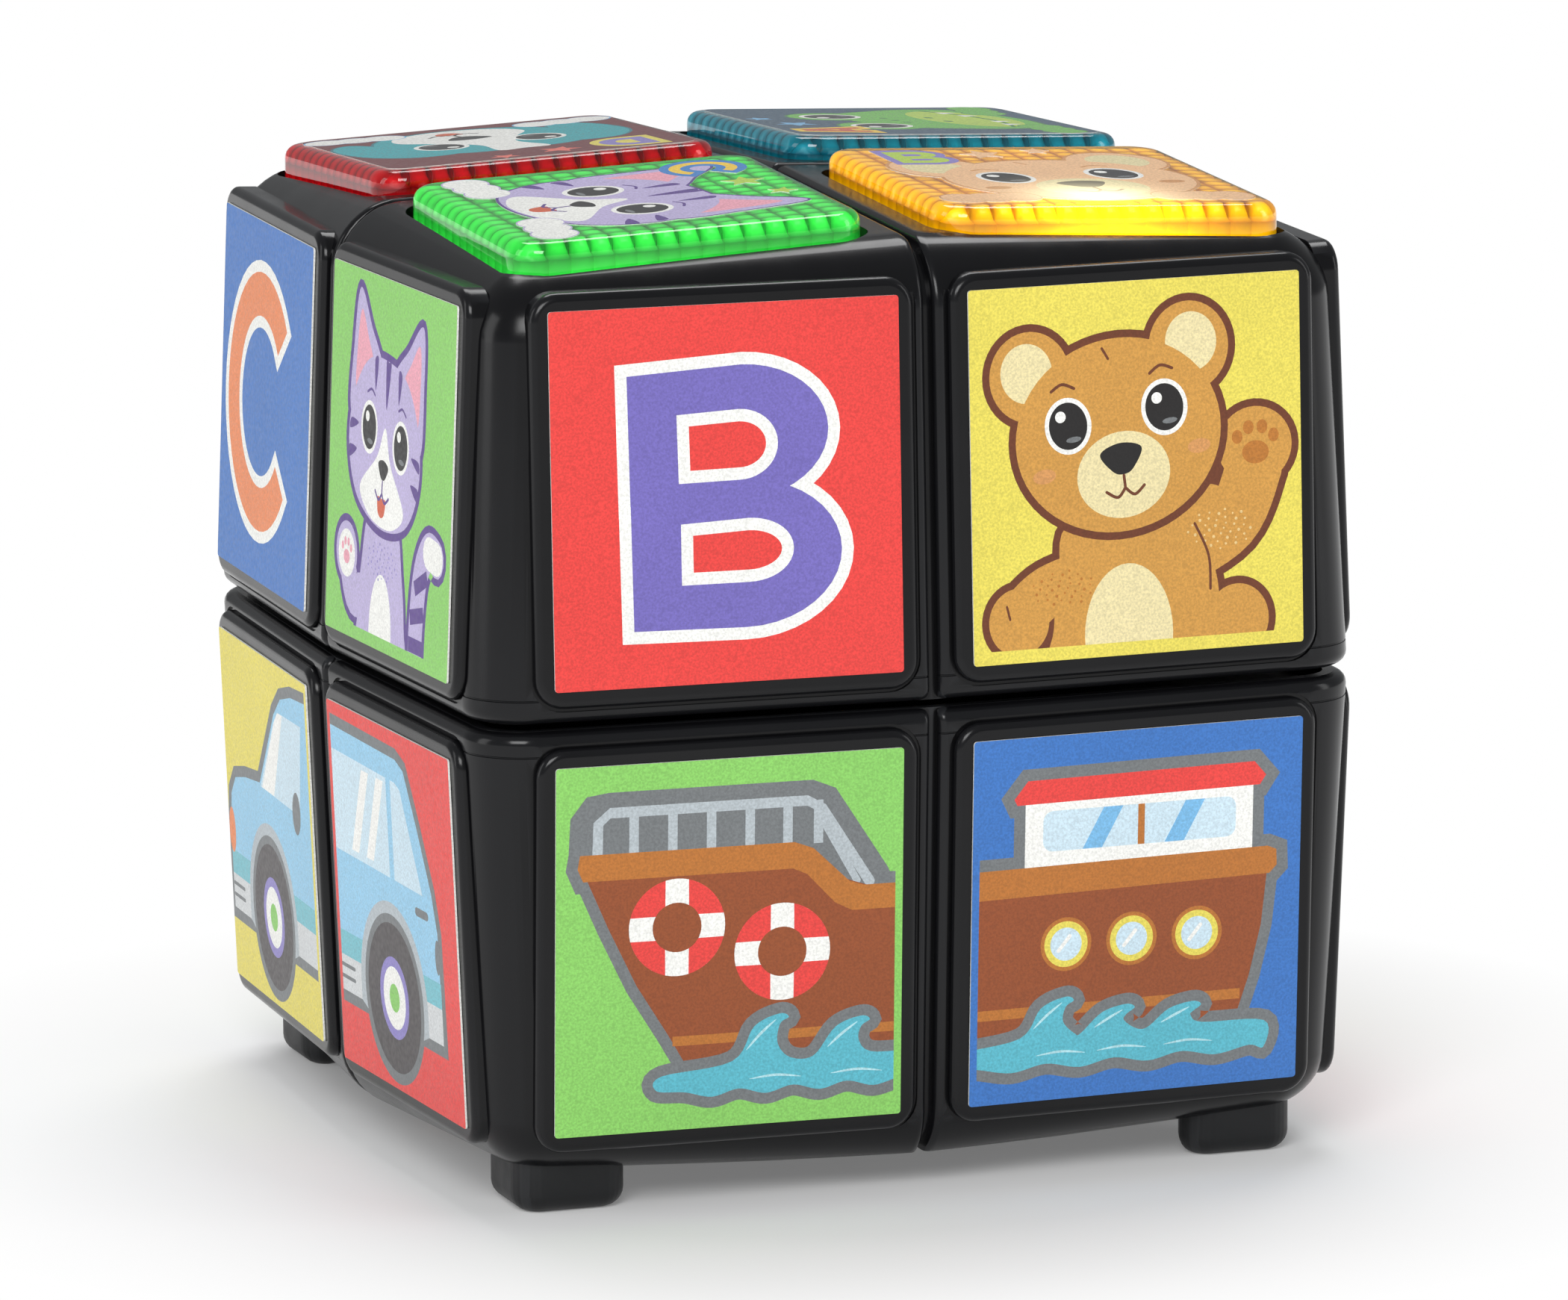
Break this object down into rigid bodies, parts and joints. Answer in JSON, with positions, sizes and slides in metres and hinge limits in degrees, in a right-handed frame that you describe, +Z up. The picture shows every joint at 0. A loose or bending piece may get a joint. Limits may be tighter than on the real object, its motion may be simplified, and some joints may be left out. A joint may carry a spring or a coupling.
{
  "type": "baby activity cube",
  "caption": "Twisting cube toy of two stacked black halves with picture panels on the sides, light-up push buttons on top, feet, and a battery bay and speaker underneath.",
  "frame": {"origin": "middle of the footprint, on the floor plane under the feet, on the axis that the upper half turns about", "axes": "+Z up along the twist axis, -Y out of the front face (bear and boat), +X to the right of the front face"},
  "size_m": [0.1216, 0.1216, 0.1231],
  "materials": {
    "shell_black": "moulded black ABS, semi-gloss with a fine orange-peel",
    "deck_black": "moulded black ABS, matte",
    "foot_rubber": "matte black thermoplastic rubber",
    "label_red": "printed label under a satin film",
    "label_yellow": "printed label under a satin film",
    "label_green": "printed label under a satin film",
    "label_blue": "printed label under a satin film",
    "button_green": "clear green styrene, glossy, with a printed picture",
    "button_yellow": "clear amber styrene, glossy, with a printed picture",
    "button_blue": "clear blue styrene, glossy, with a printed picture",
    "button_red": "clear red styrene, glossy, with a printed picture",
    "lamp_lens": "water-clear epoxy lamp",
    "white_silicone": "soft white silicone, matte",
    "natural_plastic": "natural acetal, satin",
    "circuit_board": "green solder mask",
    "screw_steel": "zinc-plated steel",
    "contact_steel": "nickel-plated spring steel",
    "finger_bronze": "phosphor bronze",
    "cell_wrap": "plain green cell wrapper",
    "speaker_grey": "pressed steel frame and paper cone",
    "slider_orange": "orange ABS, ribbed"
  },
  "bodies": {
    "lower_half": {"lower_housing": "shell_black", "lower_deck": "deck_black", "pivot_retainer": "natural_plastic", "slip_ring_board": "circuit_board", "speaker": "speaker_grey", "lower_screw_1": "screw_steel", "lower_screw_2": "screw_steel", "lower_screw_3": "screw_steel", "lower_screw_4": "screw_steel", "foot_front_left": "foot_rubber", "foot_front_right": "foot_rubber", "foot_back_right": "foot_rubber", "foot_back_left": "foot_rubber", "battery_cell_1": "cell_wrap", "battery_cell_2": "cell_wrap", "battery_contact_link": "contact_steel", "battery_contact_plus": "contact_steel", "battery_contact_minus": "contact_steel", "power_switch_board": "circuit_board", "label_lower_front_left": "label_green", "label_lower_front_right": "label_blue", "label_lower_right_left": "label_red", "label_lower_right_right": "label_yellow", "label_lower_back_left": "label_blue", "label_lower_back_right": "label_green", "label_lower_left_left": "label_yellow", "label_lower_left_right": "label_red"},
    "upper_half": {"upper_housing": "shell_black", "upper_deck": "deck_black", "upper_screw_1": "screw_steel", "upper_screw_2": "screw_steel", "upper_screw_3": "screw_steel", "upper_screw_4": "screw_steel", "main_board": "circuit_board", "contact_carrier": "deck_black", "contact_finger_1": "finger_bronze", "contact_finger_2": "finger_bronze", "contact_finger_3": "finger_bronze", "detent_spring": "contact_steel", "keypad_membrane": "white_silicone", "lamp_green": "lamp_lens", "lamp_yellow": "lamp_lens", "lamp_blue": "lamp_lens", "lamp_red": "lamp_lens", "label_upper_front_left": "label_red", "label_upper_front_right": "label_yellow", "label_upper_right_left": "label_green", "label_upper_right_right": "label_blue", "label_upper_back_left": "label_yellow", "label_upper_back_right": "label_red", "label_upper_left_left": "label_blue", "label_upper_left_right": "label_green"},
    "detent_plunger": {"detent_plunger": "natural_plastic"},
    "button_green": {"button_green": "button_green"},
    "button_yellow": {"button_yellow": "button_yellow"},
    "button_blue": {"button_blue": "button_blue"},
    "button_red": {"button_red": "button_red"},
    "battery_door": {"battery_door": "deck_black", "battery_door_screw": "screw_steel"},
    "power_slider": {"power_slider": "slider_orange"}
  },
  "joints": [
    {"name": "twist", "type": "hinge", "parent": "lower_half", "child": "upper_half", "pos_m": [0, 0, 0.0617], "axis": [0, 0, 1], "continuous": true},
    {"name": "button_green_press", "type": "slide", "parent": "upper_half", "child": "button_green", "axis": [0, 0, -1], "range_m": [0, 0.002], "stiffness_N_per_m": 700, "springref_m": -0.0006, "deforming": ["keypad_membrane"]},
    {"name": "button_yellow_press", "type": "slide", "parent": "upper_half", "child": "button_yellow", "axis": [0, 0, -1], "range_m": [0, 0.002], "stiffness_N_per_m": 700, "springref_m": -0.0006, "deforming": ["keypad_membrane"]},
    {"name": "button_blue_press", "type": "slide", "parent": "upper_half", "child": "button_blue", "axis": [0, 0, -1], "range_m": [0, 0.002], "stiffness_N_per_m": 700, "springref_m": -0.0006, "deforming": ["keypad_membrane"]},
    {"name": "button_red_press", "type": "slide", "parent": "upper_half", "child": "button_red", "axis": [0, 0, -1], "range_m": [0, 0.002], "stiffness_N_per_m": 700, "springref_m": -0.0006, "deforming": ["keypad_membrane"]},
    {"name": "detent_plunge", "type": "slide", "parent": "upper_half", "child": "detent_plunger", "axis": [0, 0, -1], "range_m": [0, 0.0012], "stiffness_N_per_m": 250, "springref_m": 0.003, "deforming": ["detent_spring"]},
    {"name": "power_slide", "type": "slide", "parent": "lower_half", "child": "power_slider", "axis": [0, 1, 0], "range_m": [0, 0.006]},
    {"name": "battery_door_lift", "type": "slide", "parent": "lower_half", "child": "battery_door", "axis": [0, 0, -1], "range_m": [0, 0.03]}
  ]
}
